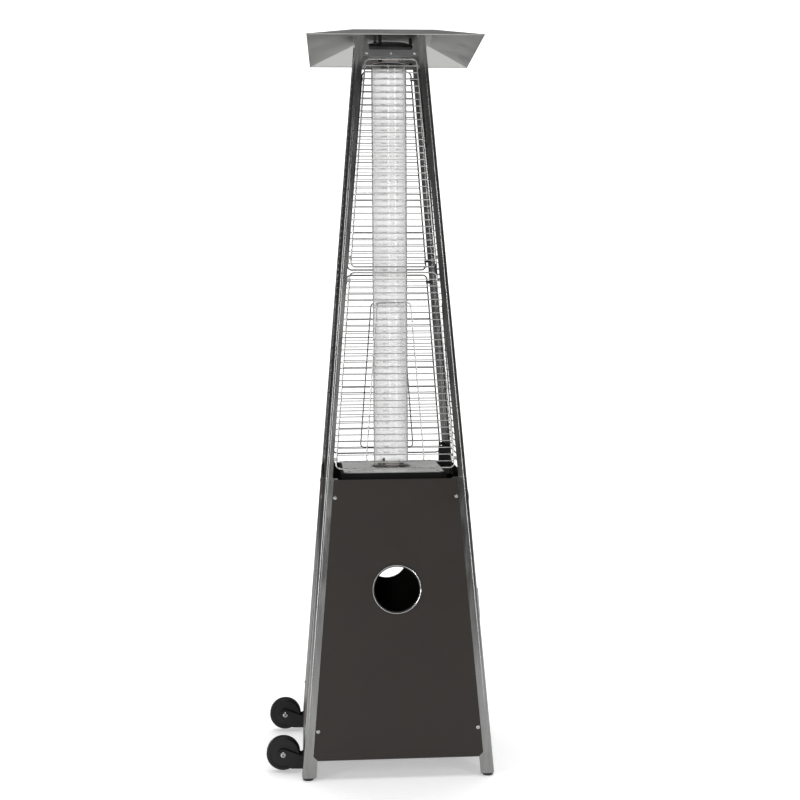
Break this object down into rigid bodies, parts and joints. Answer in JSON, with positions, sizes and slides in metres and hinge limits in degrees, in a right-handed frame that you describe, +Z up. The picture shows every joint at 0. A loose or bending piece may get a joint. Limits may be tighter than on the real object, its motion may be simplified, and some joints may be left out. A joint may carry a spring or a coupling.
{
  "type": "outdoor heater",
  "caption": "Pyramid gas patio heater: dark panelled cabinet with door, wire-guarded glass flame tube, square reflector on top, transport wheels behind.",
  "frame": {"origin": "middle of the four feet, on the floor", "axes": "+Z up, +X out of the side with the door and the controls, +Y to the right-hand side panel as seen from behind; the wheels are on the -X side"},
  "size_m": [0.6737, 0.5684, 2.2041],
  "materials": {
    "brushed_stainless": "brushed along its length, satin",
    "zinc_steel": "zinc plated, dull",
    "black_plastic": "moulded, matt",
    "grey_sheet": "grey coated sheet, matt",
    "bronze_paint": "dark bronze brown coating with fine texture, satin",
    "polished_stainless": "polished",
    "screw_steel": "bright, turned",
    "black_heat_paint": "black heat resisting coating, matt",
    "deck_steel": "plain grey sheet steel",
    "burner_steel": "stainless, heat tinted",
    "valve_brass": "machined brass",
    "lead_copper": "drawn copper tube",
    "white_ceramic": null,
    "wire_sleeve": "black silicone sleeve",
    "knob_plastic": "moulded black, fine texture",
    "button_plastic": "moulded red, gloss",
    "tube_glass": "clear heat resisting glass tube",
    "guard_wire": "bright drawn wire",
    "top_steel": "folded sheet steel, grey",
    "reflector_aluminium": "rolled sheet, satin",
    "fork_paint": "black coating",
    "wheel_plastic": "moulded black plastic"
  },
  "bodies": {
    "tower": {"lower_leg_front_right": "brushed_stainless", "lower_leg_back_right": "brushed_stainless", "lower_leg_back_left": "brushed_stainless", "lower_leg_front_left": "brushed_stainless", "upper_leg_front_right": "brushed_stainless", "upper_leg_back_right": "brushed_stainless", "upper_leg_back_left": "brushed_stainless", "upper_leg_front_left": "brushed_stainless", "leg_couplers": "zinc_steel", "foot_glides": "black_plastic", "base_tray": "grey_sheet", "heat_shelf": "grey_sheet", "left_side_panel": "bronze_paint", "right_side_panel": "bronze_paint", "back_panel": "bronze_paint", "control_panel": "bronze_paint", "vent_rings": "polished_stainless", "panel_screws": "screw_steel", "frame_screws": "screw_steel", "fixed_hinge_leaves": "polished_stainless", "hinge_pins": "polished_stainless", "magnet_catch": "black_plastic", "burner_box": "black_heat_paint", "burner_deck": "deck_steel", "burner_cup": "burner_steel", "burner_gauze": "burner_steel", "feed_pipe": "valve_brass", "pilot_tube": "valve_brass", "thermocouple_lead": "lead_copper", "spark_electrode": "white_ceramic", "electrode_wire": "wire_sleeve", "gas_valve": "valve_brass", "gas_inlet": "valve_brass", "igniter_body": "knob_plastic", "tilt_switch": "black_heat_paint", "tube_seat": "burner_steel", "glass_tube": "tube_glass", "tube_collar": "burner_steel", "lower_guard_front": "guard_wire", "lower_guard_right": "guard_wire", "lower_guard_back": "guard_wire", "lower_guard_left": "guard_wire", "upper_guard_front": "guard_wire", "upper_guard_right": "guard_wire", "upper_guard_back": "guard_wire", "upper_guard_left": "guard_wire", "top_box": "top_steel", "reflector_studs": "black_heat_paint", "reflector": "reflector_aluminium", "wheel_forks": "fork_paint"},
    "door": {"door_panel": "bronze_paint", "door_hinge_leaves": "polished_stainless", "door_pull": "brushed_stainless", "strike_plate": "zinc_steel"},
    "push": {"spring_cup": "zinc_steel"},
    "knob": {"control_knob": "knob_plastic", "valve_spindle": "zinc_steel"},
    "button": {"igniter_button": "button_plastic"},
    "left_roller": {"wheel_left": "wheel_plastic"},
    "right_roller": {"wheel_right": "wheel_plastic"}
  },
  "joints": [
    {"name": "door_hinge", "type": "hinge", "parent": "tower", "child": "door", "pos_m": [0.25643, 0.22796, 0.3984], "axis": [-0.0822, -0.0822, 0.9932], "range_deg": [0, 105]},
    {"name": "knob_push", "type": "slide", "parent": "tower", "child": "push", "axis": [-0.9966, 0, -0.0825], "range_m": [0, 0.0045], "stiffness_N_per_m": 600},
    {"name": "knob_turn", "type": "hinge", "parent": "push", "child": "knob", "pos_m": [0.21917, 0, 0.795], "axis": [0.9966, 0, 0.0825], "range_deg": [0, 210]},
    {"name": "igniter_press", "type": "slide", "parent": "tower", "child": "button", "axis": [-0.9966, 0, -0.0825], "range_m": [0, 0.005], "stiffness_N_per_m": 400},
    {"name": "wheel_left_spin", "type": "hinge", "parent": "tower", "child": "left_roller", "pos_m": [-0.3395, -0.19, 0.057], "axis": [0, 1, 0], "continuous": true},
    {"name": "wheel_right_spin", "type": "hinge", "parent": "tower", "child": "right_roller", "pos_m": [-0.3395, 0.19, 0.057], "axis": [0, 1, 0], "continuous": true}
  ]
}
